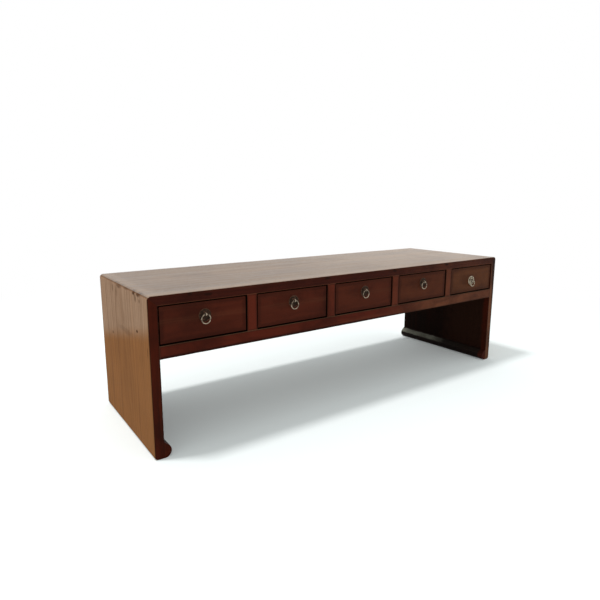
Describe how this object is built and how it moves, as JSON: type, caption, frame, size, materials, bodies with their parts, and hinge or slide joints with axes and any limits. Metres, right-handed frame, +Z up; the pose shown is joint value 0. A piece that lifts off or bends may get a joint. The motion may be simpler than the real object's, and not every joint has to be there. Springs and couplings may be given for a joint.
{
  "type": "low console table",
  "caption": "Low waterfall console table in dark lacquered wood, with side boards on inward scroll feet and a row of drawers with ring pulls.",
  "frame": {"origin": "on the floor, under the middle of the table and its pulls", "axes": "+X along the length to the right, the drawers face -Y, +Z up"},
  "size_m": [1.67, 0.5306, 0.5],
  "materials": {
    "lacquered_wood": "aged red-brown lacquer, satin, with worn edges",
    "bare_wood": "bare aged softwood",
    "dark_bronze": "dark patina",
    "worn_brass": "worn, dull"
  },
  "bodies": {
    "frame": {"top_board": "lacquered_wood", "left_side_board": "lacquered_wood", "right_side_board": "lacquered_wood", "left_foot_scroll": "lacquered_wood", "right_foot_scroll": "lacquered_wood", "front_rail": "lacquered_wood", "back_rail": "lacquered_wood", "back_panel": "lacquered_wood", "left_runner": "bare_wood", "right_runner": "bare_wood", "drawer_guides": "bare_wood", "divider_1": "lacquered_wood", "divider_2": "lacquered_wood", "divider_3": "lacquered_wood", "divider_4": "lacquered_wood", "middle_runner_1": "bare_wood", "middle_runner_2": "bare_wood", "middle_runner_3": "bare_wood", "middle_runner_4": "bare_wood"},
    "drawer_1": {"drawer_1_front": "lacquered_wood", "drawer_1_left_side": "bare_wood", "drawer_1_right_side": "bare_wood", "drawer_1_back": "bare_wood", "drawer_1_bottom": "bare_wood", "pull_1_plate": "dark_bronze", "pull_1_pin": "worn_brass"},
    "ring_1": {"pull_1_ring": "worn_brass"},
    "drawer_2": {"drawer_2_front": "lacquered_wood", "drawer_2_left_side": "bare_wood", "drawer_2_right_side": "bare_wood", "drawer_2_back": "bare_wood", "drawer_2_bottom": "bare_wood", "pull_2_plate": "dark_bronze", "pull_2_pin": "worn_brass"},
    "ring_2": {"pull_2_ring": "worn_brass"},
    "drawer_3": {"drawer_3_front": "lacquered_wood", "drawer_3_left_side": "bare_wood", "drawer_3_right_side": "bare_wood", "drawer_3_back": "bare_wood", "drawer_3_bottom": "bare_wood", "pull_3_plate": "dark_bronze", "pull_3_pin": "worn_brass"},
    "ring_3": {"pull_3_ring": "worn_brass"},
    "drawer_4": {"drawer_4_front": "lacquered_wood", "drawer_4_left_side": "bare_wood", "drawer_4_right_side": "bare_wood", "drawer_4_back": "bare_wood", "drawer_4_bottom": "bare_wood", "pull_4_plate": "dark_bronze", "pull_4_pin": "worn_brass"},
    "ring_4": {"pull_4_ring": "worn_brass"},
    "drawer_5": {"drawer_5_front": "lacquered_wood", "drawer_5_left_side": "bare_wood", "drawer_5_right_side": "bare_wood", "drawer_5_back": "bare_wood", "drawer_5_bottom": "bare_wood", "pull_5_plate": "dark_bronze", "pull_5_pin": "worn_brass"},
    "ring_5": {"pull_5_ring": "worn_brass"}
  },
  "joints": [
    {"name": "drawer_1_slide", "type": "slide", "parent": "frame", "child": "drawer_1", "axis": [0, -1, 0], "range_m": [0, 0.38]},
    {"name": "ring_1_hinge", "type": "hinge", "parent": "drawer_1", "child": "ring_1", "pos_m": [-0.6584, -0.26, 0.427], "axis": [-1, 0, 0], "range_deg": [-11, 191]},
    {"name": "drawer_2_slide", "type": "slide", "parent": "frame", "child": "drawer_2", "axis": [0, -1, 0], "range_m": [0, 0.38]},
    {"name": "ring_2_hinge", "type": "hinge", "parent": "drawer_2", "child": "ring_2", "pos_m": [-0.3292, -0.26, 0.43], "axis": [-1, 0, 0], "range_deg": [-11, 191]},
    {"name": "drawer_3_slide", "type": "slide", "parent": "frame", "child": "drawer_3", "axis": [0, -1, 0], "range_m": [0, 0.38]},
    {"name": "ring_3_hinge", "type": "hinge", "parent": "drawer_3", "child": "ring_3", "pos_m": [0, -0.26, 0.43], "axis": [-1, 0, 0], "range_deg": [-11, 191]},
    {"name": "drawer_4_slide", "type": "slide", "parent": "frame", "child": "drawer_4", "axis": [0, -1, 0], "range_m": [0, 0.38]},
    {"name": "ring_4_hinge", "type": "hinge", "parent": "drawer_4", "child": "ring_4", "pos_m": [0.3292, -0.26, 0.43], "axis": [-1, 0, 0], "range_deg": [-11, 191]},
    {"name": "drawer_5_slide", "type": "slide", "parent": "frame", "child": "drawer_5", "axis": [0, -1, 0], "range_m": [0, 0.38]},
    {"name": "ring_5_hinge", "type": "hinge", "parent": "drawer_5", "child": "ring_5", "pos_m": [0.6584, -0.26, 0.408], "axis": [-1, 0, 0], "range_deg": [-11, 191]}
  ]
}
